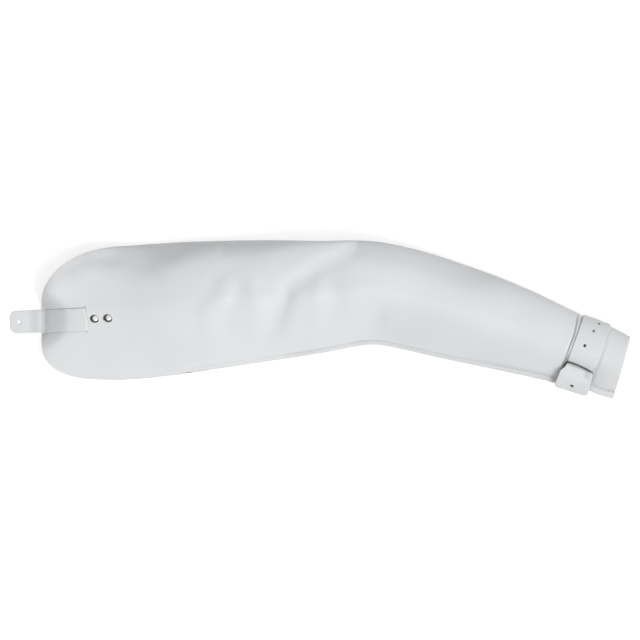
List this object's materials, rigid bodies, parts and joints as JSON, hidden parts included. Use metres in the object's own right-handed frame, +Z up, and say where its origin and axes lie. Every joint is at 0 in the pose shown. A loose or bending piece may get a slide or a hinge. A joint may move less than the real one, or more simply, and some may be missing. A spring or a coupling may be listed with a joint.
{
  "type": "leather arm protector",
  "caption": "White leather sleeve that covers an arm from shoulder to wrist, with a rounded shoulder cap, a riveted and punched shoulder tab and a buckled wrist strap.",
  "frame": {"origin": "centre of the footprint of the protector as it lies, on the surface that it lies on", "axes": "+X from the shoulder to the wrist, +Y towards the folded outer edge, +Z up from the surface that it lies on"},
  "size_m": [0.6817, 0.1732, 0.047],
  "materials": {
    "sleeve_leather": "soft white leather with a fine grain, low sheen",
    "strap_leather": "firm white strap leather, smooth grain, low sheen",
    "nickel": "nickel plate, slightly worn"
  },
  "bodies": {
    "root": {"sleeve": "sleeve_leather", "shoulder_tab": "strap_leather", "shoulder_rivet_1": "nickel", "shoulder_rivet_2": "nickel", "wrist_strap": "strap_leather", "buckle_frame": "nickel", "buckle_prong": "nickel"}
  },
  "joints": []
}
